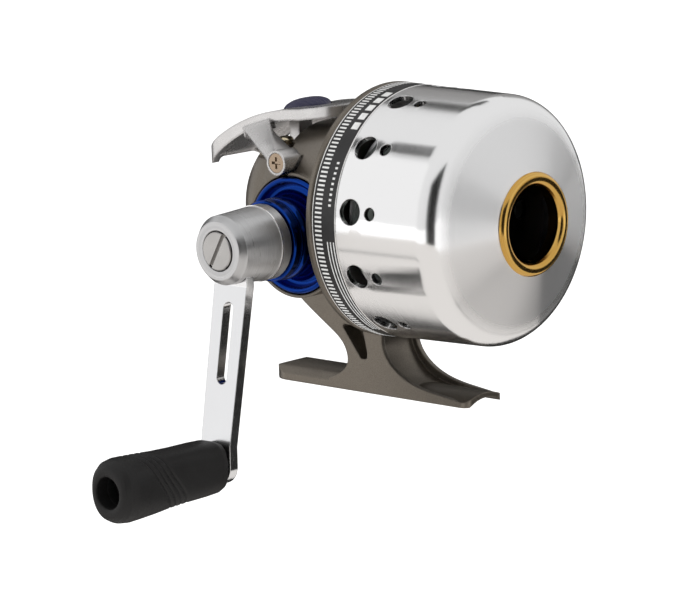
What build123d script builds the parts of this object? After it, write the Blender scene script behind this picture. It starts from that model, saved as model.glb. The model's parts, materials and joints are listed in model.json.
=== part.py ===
from build123d import *
import math
import os

# Spincast reel, millimetres.  Origin: centre of the foot's seat.  +X nose, +Z up, crank on the -Y side.

# ---- driving dimensions -----------------------------------------------------------------------------
AXIS_Z = 42.8  # height of the reel axis above the foot's seat
FLANGE_REAR, FLANGE_FRONT, FLANGE_R = 4.0, 6.0, 29.3  # round flange that the nose cover closes against
BODY_R, BODY_TAPER, BODY_LENGTH, BODY_CORNER, WALL = 22.9, 0.19, 35.3, 10.7, 2.0

CRANK_X, CRANK_DROP = -8.5, 4.65  # crank axis, behind the origin and below the reel axis
BOSS_R, BOSS_FACE, DIAL_SEAT_R, DIAL_SEAT = 14.5, 19.9, 13.85, 15.0
GEAR_TEETH, PINION_TEETH = 37, 9
TOOTH_INNER, TOOTH_OUTER = 9.6, 12.2  # ends of a face tooth, measured along the reel axis from the crank
SHAFT_R, CRANK_R, CRANK_TAIL_R, RUNNING = 1.6, 3.0, 2.0, 0.05
ARM_INNER, ARM_OUTER, ARM_SWEEP, CRANK_THROW = 38.5, 40.9, 0.19, 48.35
GRIP_START, GRIP_END, GRIP_HOLE_R, SPINDLE_R = 48.1, 81.5, 3.6, 2.0

PIVOT_X, PIVOT_RISE, EYE_R, EYE_INNER, EYE_OUTER = -11.8, 12.0, 2.9, 15.9, 21.4
LEVER_HALF, LEVER_THICK, LEVER_SKIN, LEVER_RIM, PIVOT_R = 11.0, 2.6, 1.3, 1.4, 1.5
PAD_X, PAD_LENGTH, PAD_HALF = -21.6, 12.2, 5.2
PAWL_X, PAWL_Z, PAWL_POST_END, PAWL_POST_R = -12.6, 6.0, 17.2, 1.9  # pawl pivot, measured from the crank axis
BAY_X, BAY_RISE, ARM_RELIEF = -16.0, 12.5, 0.7  # flat bay in the top of the housing, under the thumb lever

COVER_REAR, BAND_FRONT, BAND_REAR_R, BAND_FRONT_R, BAND_SEAT_R = 6.3, 13.2, 29.17, 29.0, 28.1
SHOULDER_X, SHOULDER_R, CREASE_X, CREASE_R, NOSE_X, NOSE_R, SHEET = 36.3, 28.47, 40.8, 25.05, 46.9, 10.0, 1.2
HOLE_PAIRS, HOLE_START, BIG_HOLE_X, BIG_HOLE_R, SMALL_HOLE_X, SMALL_HOLE_R = 12, 21.65, 17.4, 3.0, 23.14, 1.55
DRILL_START, DRILL_LENGTH, RING_BORE_R = 24, 8, 8.75

FOOT_HALF, FOOT_REAR, FOOT_FRONT, FOOT_EDGE, FOOT_CROWN, RIM = 6.5, -31.0, 31.0, 1.6, 4.0, 1.2
ARCH_R, ARCH_DEPTH, TIP_HEIGHT, TIP_EDGE, REAR_TIP = 10.0, 1.5, 2.7, 1.1, 2.3
DECK_SCREW_RING = 25.6

# ---- working planes -----------------------------------------------------------------------------------
CRANK_Z = AXIS_Z - CRANK_DROP
PIVOT_Z = AXIS_Z + PIVOT_RISE
GRIP_Z = CRANK_Z - CRANK_THROW
REEL_AXIS = Axis((0, 0, AXIS_Z), (1, 0, 0))
CRANK_AXIS = Axis((CRANK_X, 0, CRANK_Z), (0, -1, 0))
GRIP_AXIS = Axis((CRANK_X, 0, GRIP_Z), (0, -1, 0))
ALONG_REEL = Plane((0, 0, AXIS_Z), x_dir=(1, 0, 0), z_dir=(0, -1, 0))  # sketches hold (x, radius)
ALONG_CRANK = Plane((CRANK_X, 0, CRANK_Z), x_dir=(0, -1, 0), z_dir=(-1, 0, 0))  # (outward, radius)
ALONG_GRIP = Plane((CRANK_X, 0, GRIP_Z), x_dir=(0, -1, 0), z_dir=(-1, 0, 0))


def across(x):
    """A plane square to the reel axis; its sketches hold (y, z above the axis)."""
    return Plane((x, 0, AXIS_Z), x_dir=(0, 1, 0), z_dir=(1, 0, 0))


def facing(outward):
    """A plane square to the crank axis; its sketches hold (x, z) from that axis and extrude outwards."""
    return Plane((CRANK_X, -outward, CRANK_Z), x_dir=(1, 0, 0), z_dir=(0, -1, 0))


def side_at(y, centre_x=0.0, centre_z=0.0):
    """A plane parallel to XZ that faces -Y, with its sketch origin at the given point."""
    return Plane((centre_x, y, centre_z), x_dir=(1, 0, 0), z_dir=(0, -1, 0))


def turned(profile, plane, axis):
    """A solid turned from a closed outline about an axis."""
    with BuildPart() as piece:
        with BuildSketch(plane):
            with BuildLine():
                Polyline(*profile, close=True)
            make_face()
        revolve(axis=axis)
    return piece


def ring(start, end, inner, outer, plane, axis):
    return turned([(start, inner), (end, inner), (end, outer), (start, outer)], plane, axis)


def ball_bearing(start, end, inner, outer, plane, axis, balls):
    """Inner race, outer race and balls, as three separate pieces."""
    middle, half_step = (inner + outer) / 2, (outer - inner) / 2
    ball_r, gap = half_step * 0.42, 0.05
    mid = (start + end) / 2
    races = []
    for low, high in ((inner, middle - ball_r * 0.55), (middle + ball_r * 0.55, outer)):
        with BuildPart() as race:
            with BuildSketch(plane):
                with BuildLine():
                    Polyline((start, low), (end, low), (end, high), (start, high), close=True)
                make_face()
                with Locations((mid, middle)):
                    Circle(ball_r + gap, mode=Mode.SUBTRACT)
            revolve(axis=axis)
        races.append(race)
    centre = plane.from_local_coords((mid, 0, 0))
    with BuildPart() as ball_set:
        with Locations(Plane(centre, z_dir=axis.direction)):
            with PolarLocations(middle, balls):
                Sphere(ball_r)
    return races[0], races[1], ball_set


# ---- housing: one casting with flange, gear case, crank boss, stem and foot --------------------------
body_rear = FLANGE_REAR - BODY_LENGTH
corner_x = body_rear + BODY_CORNER
corner_r = BODY_R - BODY_TAPER * (FLANGE_REAR - corner_x)
rear_r = corner_r - BODY_CORNER
arc_share = math.sqrt(0.5)

with BuildPart() as cavity:
    with BuildSketch(ALONG_REEL):
        with BuildLine():
            inner_x, inner_r, inner_corner = corner_x, corner_r - WALL, BODY_CORNER - WALL
            Polyline((FLANGE_FRONT, 0), (FLANGE_FRONT, BODY_R - 3.9), (FLANGE_REAR - 1, BODY_R - WALL - 1.6))
            Line((FLANGE_REAR - 1, BODY_R - WALL - 1.6), (inner_x, inner_r))
            ThreePointArc(
                (inner_x, inner_r),
                (inner_x - inner_corner * arc_share, inner_r - inner_corner * (1 - arc_share)),
                (inner_x - inner_corner, inner_r - inner_corner),
            )
            Polyline((inner_x - inner_corner, inner_r - inner_corner), (inner_x - inner_corner, 0), (FLANGE_FRONT, 0))
        make_face()
    revolve(axis=REEL_AXIS)
    with BuildSketch(side_at(-30)):
        with Locations((BAY_X + 1.6 - 20, AXIS_Z + BAY_RISE - WALL + 20)):
            Rectangle(40, 40)
    extrude(amount=-60, mode=Mode.SUBTRACT)

with BuildPart() as body_housing:
    with BuildSketch(ALONG_REEL):
        with BuildLine():
            Polyline((FLANGE_FRONT, 0), (FLANGE_FRONT, FLANGE_R - 0.4), (FLANGE_FRONT - 0.4, FLANGE_R))
            Polyline((FLANGE_FRONT - 0.4, FLANGE_R), (FLANGE_REAR + 0.6, FLANGE_R), (FLANGE_REAR, FLANGE_R - 0.6))
            Polyline((FLANGE_REAR, FLANGE_R - 0.6), (FLANGE_REAR, BODY_R + 1.5))
            ThreePointArc(
                (FLANGE_REAR, BODY_R + 1.5),
                (FLANGE_REAR - 1.5 * (1 - arc_share), BODY_R + 1.5 * (1 - arc_share)),
                (FLANGE_REAR - 1.5, BODY_R - 0.2),
            )
            Line((FLANGE_REAR - 1.5, BODY_R - 0.2), (corner_x, corner_r))
            ThreePointArc(
                (corner_x, corner_r),
                (corner_x - BODY_CORNER * arc_share, corner_r - BODY_CORNER * (1 - arc_share)),
                (body_rear, rear_r),
            )
            Polyline((body_rear, rear_r), (body_rear, 0), (FLANGE_FRONT, 0))
        make_face()
    revolve(axis=REEL_AXIS)
    # round boss for the crank and its dial
    with BuildSketch(facing(4)):
        Circle(BOSS_R)
    extrude(amount=BOSS_FACE - 4)
    # stem: flush with the foot's sides, waisted, spreading into the body
    with BuildSketch(side_at(-FOOT_HALF)):
        with BuildLine():
            Polyline((-11.5, 1.0), (-11.5, 2.3))
            Spline(
                (-11.5, 2.3), (-8.4, 3.5), (-5.4, 6.4), (-6.1, 10.4), (-10.1, 14.0), (-17.3, 18.7), (-22.5, 23.0),
                (-25.5, 28.0),
            )
            Polyline((-25.5, 28.0), (5.6, 28.0), (5.6, 14.2))
            Spline((5.6, 14.2), (6.9, 8.9), (11.7, 4.9), (17.1, 3.0), (FOOT_FRONT - 1.2, TIP_EDGE))
            Polyline((FOOT_FRONT - 1.2, TIP_EDGE), (FOOT_FRONT, TIP_EDGE - 0.4), (FOOT_FRONT, 0), (-11.5, 0), (-11.5, 1.0))
        make_face()
    extrude(amount=-2 * FOOT_HALF)
    # scooped front of the stem and foot, between two thin rims
    with BuildSketch(side_at(-FOOT_HALF + RIM)):
        with BuildLine():
            Spline((4.4, 16.0), (5.0, 9.4), (9.6, 4.1), (15.0, 2.0), (FOOT_FRONT + 1, 0.9))
            Polyline((FOOT_FRONT + 1, 0.9), (FOOT_FRONT + 1, 12), (8, 12), (6.8, 16.0), (4.4, 16.0))
        make_face()
    extrude(amount=-2 * (FOOT_HALF - RIM), mode=Mode.SUBTRACT)
    # crown of the front blade, and the taller crown of the rear blade
    with BuildSketch(across(8.0)):
        with BuildLine():
            Polyline((-FOOT_HALF, TIP_EDGE - AXIS_Z), (-FOOT_HALF, -AXIS_Z), (FOOT_HALF, -AXIS_Z))
            Line((FOOT_HALF, -AXIS_Z), (FOOT_HALF, TIP_EDGE - AXIS_Z))
            ThreePointArc(
                (FOOT_HALF, TIP_EDGE - AXIS_Z), (0, TIP_HEIGHT - AXIS_Z), (-FOOT_HALF, TIP_EDGE - AXIS_Z)
            )
        make_face()
    extrude(amount=FOOT_FRONT - 8.0)
    with BuildSketch(across(FOOT_REAR)):
        with BuildLine():
            Polyline((-FOOT_HALF, FOOT_EDGE - AXIS_Z), (-FOOT_HALF, -AXIS_Z), (FOOT_HALF, -AXIS_Z))
            Line((FOOT_HALF, -AXIS_Z), (FOOT_HALF, FOOT_EDGE - AXIS_Z))
            Spline(
                (FOOT_HALF, FOOT_EDGE - AXIS_Z), (FOOT_HALF - 1.5, 2.9 - AXIS_Z), (0, FOOT_CROWN - AXIS_Z),
                (1.5 - FOOT_HALF, 2.9 - AXIS_Z), (-FOOT_HALF, FOOT_EDGE - AXIS_Z),
            )
        make_face()
    extrude(amount=-FOOT_REAR - 4)
    # sloped rear tip, rounded corners at both tips and the arch that straddles a round rod
    with BuildSketch(side_at(-FOOT_HALF - 1)):
        with BuildLine():
            Polyline(
                (FOOT_REAR - 1, REAR_TIP), (FOOT_REAR - 1, 6), (FOOT_REAR + 7.5, 6), (FOOT_REAR + 7.5, FOOT_CROWN)
            )
            Spline((FOOT_REAR + 7.5, FOOT_CROWN), (FOOT_REAR + 2.2, 3.3), (FOOT_REAR, REAR_TIP))
            Line((FOOT_REAR, REAR_TIP), (FOOT_REAR - 1, REAR_TIP))
        make_face()
    extrude(amount=-2 * FOOT_HALF - 2, mode=Mode.SUBTRACT)
    for tip_x, inward, corner in ((FOOT_REAR, 1, 5.8), (FOOT_FRONT, -1, 2.0)):
        with BuildSketch(Plane.XY.offset(-1)):
            with Locations((tip_x + inward * 2, 0)):
                Rectangle(8, 2 * FOOT_HALF + 4)
            with Locations((tip_x + inward * 10, 0)):
                RectangleRounded(20, 2 * FOOT_HALF, corner, mode=Mode.SUBTRACT)
        extrude(amount=9, mode=Mode.SUBTRACT)
    with BuildSketch(Plane((FOOT_REAR - 1, 0, 0), x_dir=(0, 1, 0), z_dir=(1, 0, 0))):
        with Locations((0, ARCH_DEPTH - ARCH_R)):
            Circle(ARCH_R)
    extrude(amount=FOOT_FRONT - FOOT_REAR + 2, mode=Mode.SUBTRACT)
    # wedge-shaped lightening pockets in the stem's sides
    for side in (-1, 1):
        with BuildSketch(Plane((0, side * 1.9, 0), x_dir=(1, 0, 0), z_dir=(0, -1, 0))):
            with BuildLine():
                Polyline((-7.0, 15.6), (-1.0, 7.9), (0.9, 8.0), (1.0, 9.6), (-0.4, 15.6), close=True)
            wedge = make_face()
            fillet(wedge.vertices(), 0.55)
        extrude(amount=-side * 6, mode=Mode.SUBTRACT)
    # flat bay under the thumb lever
    with BuildSketch(side_at(-30)):
        with Locations((BAY_X - 20, AXIS_Z + BAY_RISE + 20)):
            Rectangle(40, 40)
    extrude(amount=-60, mode=Mode.SUBTRACT)
    # lower strips beside the bay, under the lever's arms
    with BuildSketch(Plane.XY.offset(PIVOT_Z - ARM_RELIEF)):
        with Locations((-21.2, 13.75), (-21.2, -13.75)):
            Rectangle(13.6, 5.5)
    extrude(amount=4, mode=Mode.SUBTRACT)
    # hollow for the gears
    add(cavity.part, mode=Mode.SUBTRACT)
    with BuildSketch(facing(2.0)):
        Circle(13.6)
    extrude(amount=9.6, mode=Mode.SUBTRACT)
    # seats for the dial and the crank bearing
    with BuildSketch(facing(DIAL_SEAT)):
        Circle(DIAL_SEAT_R)
    extrude(amount=9, mode=Mode.SUBTRACT)
    with BuildSketch(facing(12.0)):
        Circle(6.52)
    extrude(amount=4, mode=Mode.SUBTRACT)
    with BuildSketch(facing(11.0)):
        Circle(5.4)
    extrude(amount=2, mode=Mode.SUBTRACT)
    # far-side post with the seat for the plain bush
    with BuildSketch(facing(-9.0)):
        Circle(5.0)
        Circle(3.2, mode=Mode.SUBTRACT)
    extrude(amount=-9.4)
    # blind hole for the pawl's post
    with BuildSketch(facing(-PAWL_POST_END - 0.05)):
        with Locations((PAWL_X, PAWL_Z)):
            Circle(PAWL_POST_R + 0.02)
    extrude(amount=3, mode=Mode.SUBTRACT)
    # spot faces and screw holes for the lever's pivots
    for side in (-1, 1):
        with BuildSketch(Plane((PIVOT_X, side * (EYE_INNER - 0.35), PIVOT_Z), z_dir=(0, side, 0))):
            Circle(3.5)
        extrude(amount=8, mode=Mode.SUBTRACT)
        with BuildSketch(Plane((PIVOT_X, side * 12.4, PIVOT_Z), z_dir=(0, side, 0))):
            Circle(1.3)
        extrude(amount=4, mode=Mode.SUBTRACT)
    # slot for the lever's tang, and the pillar of its stop screw
    with BuildSketch(Plane.XY.offset(AXIS_Z + BAY_RISE - WALL - 1)):
        with Locations((-23.9, 0)):
            Rectangle(6.0, 5.6)
    extrude(amount=WALL + 2, mode=Mode.SUBTRACT)
    with BuildSketch(Plane.XY.offset(AXIS_Z + BAY_RISE - 0.5)):
        with Locations((-19.4, -10)):
            Circle(2.1)
    extrude(amount=2.6)
    with BuildSketch(Plane.XY.offset(AXIS_Z + BAY_RISE - 1.0)):
        with Locations((-19.4, -10)):
            Circle(0.9)
    extrude(amount=4, mode=Mode.SUBTRACT)
    # holes for the three screws that hold the deck plate
    with BuildSketch(across(FLANGE_REAR - 1)):
        with PolarLocations(DECK_SCREW_RING, 3, start_angle=60):
            Circle(0.9)
    extrude(amount=4, mode=Mode.SUBTRACT)

# ---- deck plate, its screws and the parts that stand on it --------------------------------------------
with BuildPart() as deck_plate:
    with BuildSketch(ALONG_REEL):
        with BuildLine():
            Polyline(
                (5.0, 5.52), (7.9, 5.52), (7.9, 3.5), (21.6, 3.5), (21.6, 4.5), (24.6, 4.5), (24.6, 7.0),
                (9.2, 7.0), (9.2, 9.5), (8.4, 9.5), (8.4, 26.2), (8.0, 26.6), (6.0, 26.6), (6.0, 8.0),
                (5.0, 8.0), close=True,
            )
        make_face()
    revolve(axis=REEL_AXIS)
    with BuildSketch(across(5.5)):
        with PolarLocations(DECK_SCREW_RING, 3, start_angle=60):
            Circle(0.8)
    extrude(amount=2, mode=Mode.SUBTRACT)

with BuildPart() as deck_screws:
    with BuildSketch(across(FLANGE_REAR)):
        with PolarLocations(DECK_SCREW_RING, 3, start_angle=60):
            Circle(1.2)
    extrude(amount=-0.7)
    with BuildSketch(across(FLANGE_REAR)):
        with PolarLocations(DECK_SCREW_RING, 3, start_angle=60):
            Circle(0.78)
    extrude(amount=3.4)
    with BuildSketch(across(FLANGE_REAR - 0.7)):
        with PolarLocations(DECK_SCREW_RING, 3, start_angle=60):
            Rectangle(0.35, 1.7)
            Rectangle(1.7, 0.35)
    extrude(amount=0.4, mode=Mode.SUBTRACT)

pinion_races = ball_bearing(5.1, 7.8, 3.0, 5.5, ALONG_REEL, REEL_AXIS, 8)
pinion_bearing_inner, pinion_bearing_outer, pinion_bearing_balls = pinion_races
front_bushing = ring(21.62, 24.6, 3.03, 4.48, ALONG_REEL, REEL_AXIS)

with BuildPart() as spool:
    with BuildSketch(ALONG_REEL):
        with BuildLine():
            Polyline(
                (9.3, 7.05), (23.8, 7.05), (23.8, 20.6), (23.4, 21.2), (22.8, 20.6), (22.6, 9.6), (22.6, 9.5),
                (10.5, 9.5), (10.5, 20.4), (10.1, 20.9), (9.6, 20.6), (9.3, 9.6), close=True,
            )
        make_face()
    revolve(axis=REEL_AXIS)

with BuildPart() as wound_line:
    with BuildSketch(ALONG_REEL):
        with BuildLine():
            Polyline((22.5, 17.2), (22.5, 9.55), (10.6, 9.55), (10.6, 17.2))
            ThreePointArc((10.6, 17.2), (16.5, 18.2), (22.5, 17.2))
        make_face()
    revolve(axis=REEL_AXIS)

with BuildPart() as spool_clip:
    with BuildSketch(across(23.85)):
        Circle(8.6)
        Circle(7.02, mode=Mode.SUBTRACT)
        with Locations((0, -8)):
            Rectangle(4.4, 8, mode=Mode.SUBTRACT)
    extrude(amount=0.7)

cover_seal = turned(
    [(6.05, 26.65), (8.0, 26.65), (8.0, 26.85), (6.05, 26.85)], ALONG_REEL, REEL_AXIS
)

# ---- nose cover, its band and the line ring ------------------------------------------------------------
cone_slope = (NOSE_X - CREASE_X) / (CREASE_R - NOSE_R)
shoulder_turn = 2 * math.atan2(SHOULDER_R - CREASE_R, CREASE_X - SHOULDER_X)
shoulder_bend = (CREASE_X - SHOULDER_X) / math.sin(shoulder_turn)


def shoulder(inset):
    """Start, middle and end of the rounded shoulder, moved inwards by a sheet thickness."""
    radius = shoulder_bend - inset
    points = []
    for share in (0, 0.5, 1):
        turn = shoulder_turn * share
        points.append((SHOULDER_X + radius * math.sin(turn), SHOULDER_R - shoulder_bend + radius * math.cos(turn)))
    return points


# drills for the pairs of holes, with half a degree of draft
with BuildPart() as cover_drills:
    for pair in range(HOLE_PAIRS):
        turn = math.radians(HOLE_START + pair * 360 / HOLE_PAIRS)
        out = (0, -math.sin(turn), math.cos(turn))
        for hole_x, hole_r in ((BIG_HOLE_X, BIG_HOLE_R), (SMALL_HOLE_X, SMALL_HOLE_R)):
            start = (hole_x, out[1] * DRILL_START, AXIS_Z + out[2] * DRILL_START)
            with BuildSketch(Plane(start, x_dir=(1, 0, 0), z_dir=out)):
                Circle(hole_r)
            extrude(amount=DRILL_LENGTH, taper=0.5)

with BuildPart() as nose_cover:
    with BuildSketch(ALONG_REEL):
        with BuildLine():
            outer, inner = shoulder(0), shoulder(SHEET)
            step = SHEET * math.hypot(1, cone_slope)
            Polyline((COVER_REAR, 26.95), (COVER_REAR, BAND_SEAT_R), (BAND_FRONT + 0.1, BAND_SEAT_R))
            Polyline((BAND_FRONT + 0.1, BAND_SEAT_R), (BAND_FRONT + 0.1, BAND_FRONT_R), outer[0])
            ThreePointArc(*outer)
            Line(outer[2], (NOSE_X, NOSE_R))
            Line((NOSE_X, NOSE_R), (NOSE_X - step - 0.6, NOSE_R))
            Line((NOSE_X - step - 0.6, NOSE_R), (NOSE_X - step - cone_slope * 2, NOSE_R + 2))
            Line((NOSE_X - step - cone_slope * 2, NOSE_R + 2), inner[2])
            ThreePointArc(*reversed(inner))
            Polyline(inner[0], (BAND_FRONT + 1.2, 27.7), (BAND_FRONT, 26.95), (COVER_REAR, 26.95))
        make_face()
    revolve(axis=REEL_AXIS)
    add(cover_drills.part, mode=Mode.SUBTRACT)

cover_band = turned(
    [
        (COVER_REAR, BAND_SEAT_R), (BAND_FRONT, BAND_SEAT_R), (BAND_FRONT, BAND_FRONT_R - 0.15),
        (BAND_FRONT - 0.15, BAND_FRONT_R), (COVER_REAR + 0.15, BAND_REAR_R), (COVER_REAR, BAND_REAR_R - 0.15),
    ],
    ALONG_REEL,
    REEL_AXIS,
)

with BuildPart() as line_guide_ring:
    with BuildSketch(ALONG_REEL):
        with BuildLine():
            lip = (NOSE_X + 0.04 - cone_slope * 1.7, NOSE_R + 1.7)
            Polyline((43.6, NOSE_R - 0.01), (NOSE_X + 0.04, NOSE_R - 0.01), lip, (lip[0] + 0.25, lip[1] + 0.08))
            ThreePointArc((lip[0] + 0.25, lip[1] + 0.08), (47.55, 10.35), (46.9, 9.05))
            Polyline((46.9, 9.05), (46.3, RING_BORE_R), (43.6, RING_BORE_R), (43.6, NOSE_R - 0.01))
        make_face()
    revolve(axis=REEL_AXIS)

snubber_face = CREASE_X - step + cone_slope * (CREASE_R - 22.5) - 0.05
snubber_ring = turned(
    [
        (snubber_face, 22.5), (snubber_face + cone_slope * 2.5, 20.0), (snubber_face - 1.2, 20.0),
        (snubber_face - 1.8, 20.4), (snubber_face - 1.8, 22.1), (snubber_face - 1.4, 22.5),
    ],
    ALONG_REEL,
    REEL_AXIS,
)

# ---- crank train: shaft, gears, drag, hub, arm and grip -------------------------------------------------
with BuildPart() as crank_shaft:
    with BuildSketch(ALONG_CRANK):
        with BuildLine():
            Polyline(
                (-13.0, 0), (-13.0, CRANK_TAIL_R - 0.3), (-12.7, CRANK_TAIL_R), (-12.5, CRANK_TAIL_R),
                (-12.5, 1.5), (-11.9, 1.5), (-11.9, CRANK_TAIL_R), (2.2, CRANK_TAIL_R), (2.2, CRANK_R),
                (41.0, CRANK_R), (41.0, 1.9), (33.0, 1.9), (33.0, 0), close=True,
            )
        make_face()
    revolve(axis=CRANK_AXIS)

with BuildPart() as drive_gear:
    with BuildSketch(facing(3.5)):
        Circle(13.1)
        Circle(CRANK_R, mode=Mode.SUBTRACT)
        with PolarLocations(7.0, 5):
            Circle(1.5, mode=Mode.SUBTRACT)
    extrude(amount=1.9)
    # straight face teeth: each lies parallel to the reel axis as it passes the pinion
    with BuildSketch(facing(2.4)):
        with PolarLocations(0, GEAR_TEETH):
            Polygon(
                (TOOTH_INNER, CRANK_DROP - 0.22), (TOOTH_OUTER, CRANK_DROP - 0.27),
                (TOOTH_OUTER, CRANK_DROP + 0.27), (TOOTH_INNER, CRANK_DROP + 0.22), align=None,
            )
    extrude(amount=1.1)

with BuildPart() as pinion_gear:
    with BuildSketch(across(0.8)):
        Circle(2.12)
        with PolarLocations(0, PINION_TEETH, start_angle=180 / PINION_TEETH + 180):
            Polygon((1.9, -0.52), (3.2, -0.2), (3.2, 0.2), (1.9, 0.52), align=None)
    extrude(amount=3.4)
    with BuildSketch(across(4.2)):
        Circle(3.12)
    extrude(amount=0.88)
    with BuildSketch(across(5.0)):
        Circle(3.0 - 0.02)
    extrude(amount=21.0)
    with BuildSketch(across(0)):
        Circle(SHAFT_R + RUNNING)
        with Locations((0, SHAFT_R * 0.7 + RUNNING + 5)):
            Rectangle(10, 10, mode=Mode.SUBTRACT)
    extrude(amount=30, mode=Mode.SUBTRACT)

with BuildPart() as drag_fibre_washers:
    for start in (5.45, 7.05):
        with BuildSketch(facing(start)):
            Circle(8.2)
            Circle(CRANK_R + 0.2, mode=Mode.SUBTRACT)
        extrude(amount=0.8)

with BuildPart() as drag_steel_washer:
    with BuildSketch(facing(6.27)):
        Circle(8.4)
        Circle(CRANK_R + 0.02, mode=Mode.SUBTRACT)
        with PolarLocations(8.4, 4):
            Rectangle(1.6, 1.2)
    extrude(amount=0.76)

drag_pressure_plate = ring(7.87, 9.0, CRANK_R + 0.02, 8.0, ALONG_CRANK, CRANK_AXIS)
drag_spring_washers = turned(
    [(9.02, 6.4), (9.5, 6.4), (10.6, 3.4), (10.1, 3.1)], ALONG_CRANK, CRANK_AXIS
)

with BuildPart() as ratchet_wheel:
    with BuildSketch(facing(-4.4)):
        Circle(6.3)
        with PolarLocations(0, 12):
            Polygon((5.6, -1.55), (8.0, 1.2), (7.7, 1.55), (5.6, 1.75), align=None)
        Circle(CRANK_TAIL_R, mode=Mode.SUBTRACT)
    extrude(amount=1.4)

far_bushing = ring(-11.8, -9.02, CRANK_TAIL_R + RUNNING, 3.18, ALONG_CRANK, CRANK_AXIS)

with BuildPart() as shaft_clip:
    with BuildSketch(facing(-12.45)):
        Circle(3.2)
        Circle(1.52, mode=Mode.SUBTRACT)
        with Locations((0, -2.4)):
            Rectangle(2.0, 4.4, mode=Mode.SUBTRACT)
    extrude(amount=0.5)

crank_races = ball_bearing(12.02, 14.7, CRANK_R + 0.02, 6.5, ALONG_CRANK, CRANK_AXIS, 9)
crank_bearing_inner, crank_bearing_outer, crank_bearing_balls = crank_races

with BuildPart() as drag_dial:
    with BuildSketch(ALONG_CRANK):
        with BuildLine():
            Polyline((15.6, CRANK_R + RUNNING), (15.6, 13.1), (16.0, 13.5), (19.6, 13.5))
            ThreePointArc((19.6, 13.5), (20.45, 13.1), (20.2, 12.2))
            Spline((20.2, 12.2), (18.2, 11.0), (18.6, 10.0), (22.0, 9.3), (26.0, 9.15))
            Polyline((26.0, 9.15), (26.6, 9.15), (26.6, 8.85), (27.1, 8.85), (27.1, 9.3), (28.7, 9.3))
            Polyline((28.7, 9.3), (29.0, 9.0), (29.0, 7.6), (19.4, 7.6), (19.4, CRANK_R + RUNNING))
            Line((19.4, CRANK_R + RUNNING), (15.6, CRANK_R + RUNNING))
        make_face()
    revolve(axis=CRANK_AXIS)

hub_sleeve = turned(
    [(29.3, CRANK_R + 0.02), (32.1, CRANK_R + 0.02), (32.1, 8.5), (32.0, 8.6), (29.6, 8.7), (29.3, 8.4)],
    ALONG_CRANK,
    CRANK_AXIS,
)
hub_trim_ring = ring(32.1, 32.5, CRANK_R + 0.02, 8.75, ALONG_CRANK, CRANK_AXIS)

with BuildPart() as crank_hub:
    with BuildSketch(ALONG_CRANK):
        with BuildLine():
            Polyline(
                (32.5, CRANK_R + 0.02), (32.5, 8.55), (43.0, 7.95), (44.6, 6.7), (44.6, 4.6), (42.9, 4.6),
                (42.9, 1.95), (41.05, 1.95), (41.05, CRANK_R + 0.02), close=True,
            )
        make_face()
    revolve(axis=CRANK_AXIS)
    fillet(crank_hub.edges().filter_by(GeomType.CIRCLE).group_by(Axis.Y)[0], 0.25)
    # slot that the arm lies in, open downwards
    with BuildSketch(facing(ARM_INNER - 0.03)):
        with Locations((0, -4.6)):
            Rectangle(10.9, 20.4)
    extrude(amount=ARM_OUTER - ARM_INNER + 0.35, mode=Mode.SUBTRACT)

arm_low_outer = ARM_OUTER + ARM_SWEEP * (CRANK_THROW - 8.5 - 4.6)
arm_low_inner = arm_low_outer - (ARM_OUTER - ARM_INNER)

with BuildPart() as crank_arm:
    with BuildSketch(ALONG_CRANK):
        with BuildLine():
            Polyline(
                (ARM_INNER, 5.5), (ARM_OUTER, 5.5), (ARM_OUTER, -8.3), (arm_low_outer, 4.6 - CRANK_THROW),
                (arm_low_outer, -CRANK_THROW - 6), (arm_low_inner, -CRANK_THROW - 6),
                (arm_low_inner, 4.2 - CRANK_THROW), (ARM_INNER, -8.5), close=True,
            )
        make_face()
    extrude(amount=7, both=True)
    with BuildSketch(facing(ARM_INNER - 5)):
        with BuildLine():
            Line((-5.2, 0), (-4.5, -CRANK_THROW))
            ThreePointArc((-4.5, -CRANK_THROW), (0, -CRANK_THROW - 4.7), (4.5, -CRANK_THROW))
            Line((4.5, -CRANK_THROW), (5.2, 0))
            ThreePointArc((5.2, 0), (0, 5.2), (-5.2, 0))
        make_face()
        Circle(CRANK_R, mode=Mode.SUBTRACT)
        with Locations((0, -CRANK_THROW)):
            Circle(SPINDLE_R, mode=Mode.SUBTRACT)
        with Locations((0, -21.2)):
            SlotOverall(18.4, 3.1, rotation=90, mode=Mode.SUBTRACT)
    extrude(amount=20, mode=Mode.INTERSECT)

with BuildPart() as crank_screw:
    with BuildSketch(ALONG_CRANK):
        with BuildLine():
            Polyline((33.4, 0), (33.4, 1.7), (33.6, 1.88), (42.92, 1.88), (42.92, 4.38), (44.7, 4.38))
            Polyline((44.7, 4.38), (44.9, 4.2), (44.9, 0), (33.4, 0))
        make_face()
    revolve(axis=CRANK_AXIS)
    with BuildSketch(facing(44.1)):
        Rectangle(10, 0.95, rotation=60)
    extrude(amount=2, mode=Mode.SUBTRACT)

with BuildPart() as grip_spindle:
    with BuildSketch(ALONG_GRIP):
        with BuildLine():
            Polyline(
                (arm_low_inner - 0.4, 0), (arm_low_inner - 0.4, 2.4), (arm_low_inner - 0.02, 2.7),
                (arm_low_inner - 0.02, SPINDLE_R - 0.01), (58.0, SPINDLE_R - 0.01), (58.0, 3.1), (58.8, 3.1),
                (59.3, 2.4), (59.3, 0), close=True,
            )
        make_face()
    revolve(axis=GRIP_AXIS)

grip_washer = ring(arm_low_outer + 0.02, arm_low_outer + 0.4, SPINDLE_R, 3.6, ALONG_GRIP, GRIP_AXIS)
grip_core = turned(
    [
        (GRIP_START, SPINDLE_R + RUNNING), (GRIP_START, 4.4), (78.0, 4.4), (78.0, GRIP_HOLE_R),
        (57.7, GRIP_HOLE_R), (57.7, SPINDLE_R + RUNNING),
    ],
    ALONG_GRIP,
    GRIP_AXIS,
)

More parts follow.
